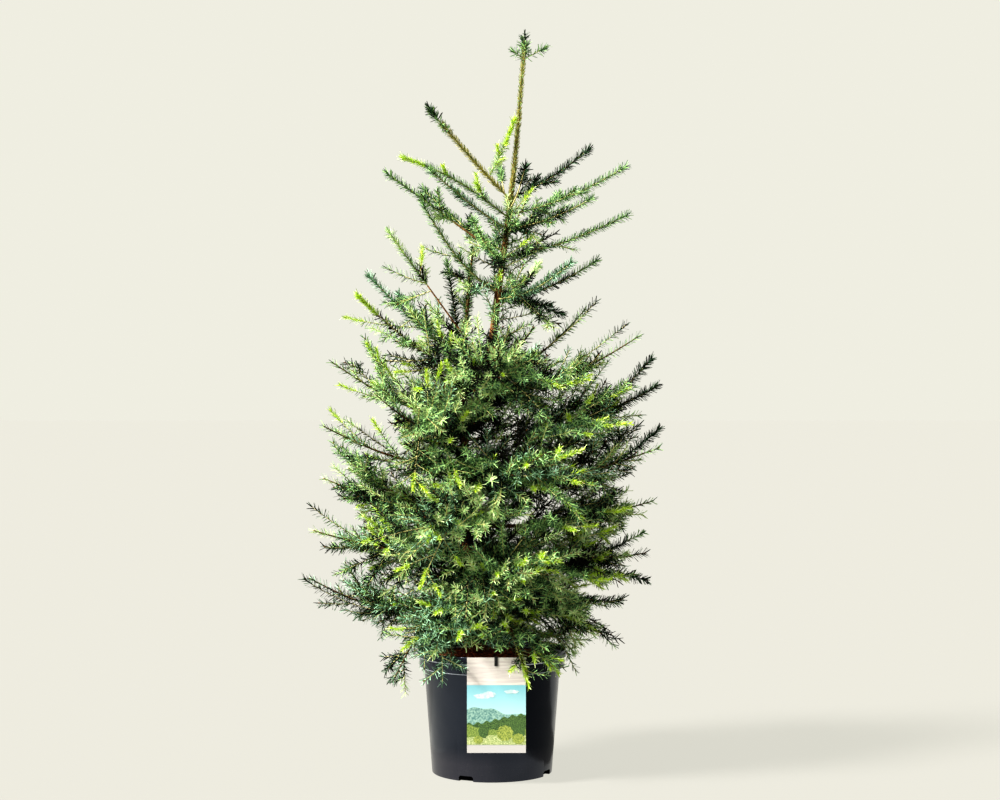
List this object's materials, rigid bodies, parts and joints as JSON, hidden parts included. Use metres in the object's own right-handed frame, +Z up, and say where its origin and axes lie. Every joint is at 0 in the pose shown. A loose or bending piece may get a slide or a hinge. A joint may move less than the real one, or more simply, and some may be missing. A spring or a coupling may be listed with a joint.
{
  "type": "potted serbian spruce",
  "caption": "Young narrow conifer with short needles and fresh light-green tips in a round black nursery pot with a hanging picture label",
  "frame": {"origin": "centre of the pot's flat underside, where the plant stands", "axes": "+Z up along the pot's axis, -Y towards the front that the label faces, +X to the right as seen from the front"},
  "size_m": [0.6713, 0.5823, 1.4043],
  "materials": {
    "pot_plastic": "black moulded plastic with a slight gloss",
    "compost": "red-brown bark compost, matt",
    "label_card": "printed card, satin",
    "hook_plastic": "black plastic",
    "bark": "thin orange-brown bark, matt",
    "needles": "short stiff needles, satin, yellow-green at the tips"
  },
  "bodies": {
    "root": {"pot": "pot_plastic", "soil": "compost", "label": "label_card", "label_hook": "hook_plastic", "trunk": "bark", "second_stem": "bark", "bough_11_left": "bark", "bough_1_left": "bark", "bough_1_left_inner": "bark", "bough_3_left": "bark", "bough_5_left_high": "bark", "bough_7_right": "bark", "bough_9_right": "bark", "foliage_leader": "needles", "foliage_1_left": "needles", "foliage_1_inner": "needles", "foliage_1_right_high": "needles", "foliage_1_right": "needles", "foliage_1_left_low": "needles", "foliage_1_front": "needles", "foliage_1_back": "needles", "foliage_2_left_front": "needles", "foliage_2_right_front": "needles", "foliage_2_right_back": "needles", "foliage_3_left": "needles", "foliage_3_left_back": "needles", "foliage_3_right": "needles", "foliage_3_front": "needles", "foliage_4_left_front": "needles", "foliage_4_right": "needles", "foliage_4_right_front": "needles", "foliage_4_back": "needles", "foliage_5_left_high": "needles", "foliage_5_left": "needles", "foliage_5_left_front": "needles", "foliage_5_left_back": "needles", "foliage_6_right_high": "needles", "foliage_6_right": "needles", "foliage_6_front": "needles", "foliage_6_back": "needles", "foliage_7_left": "needles", "foliage_7_right": "needles", "foliage_7_left_front": "needles", "foliage_7_back": "needles", "foliage_8_left": "needles", "foliage_8_right": "needles", "foliage_8_right_front": "needles", "foliage_8_right_back": "needles", "foliage_9_left": "needles", "foliage_9_right": "needles", "foliage_9_front": "needles", "foliage_9_left_back": "needles", "foliage_10_left": "needles", "foliage_10_right": "needles", "foliage_10_front": "needles", "foliage_10_back": "needles", "foliage_11_left": "needles", "foliage_11_left_front": "needles", "foliage_11_right": "needles", "foliage_11_front": "needles"}
  },
  "joints": []
}
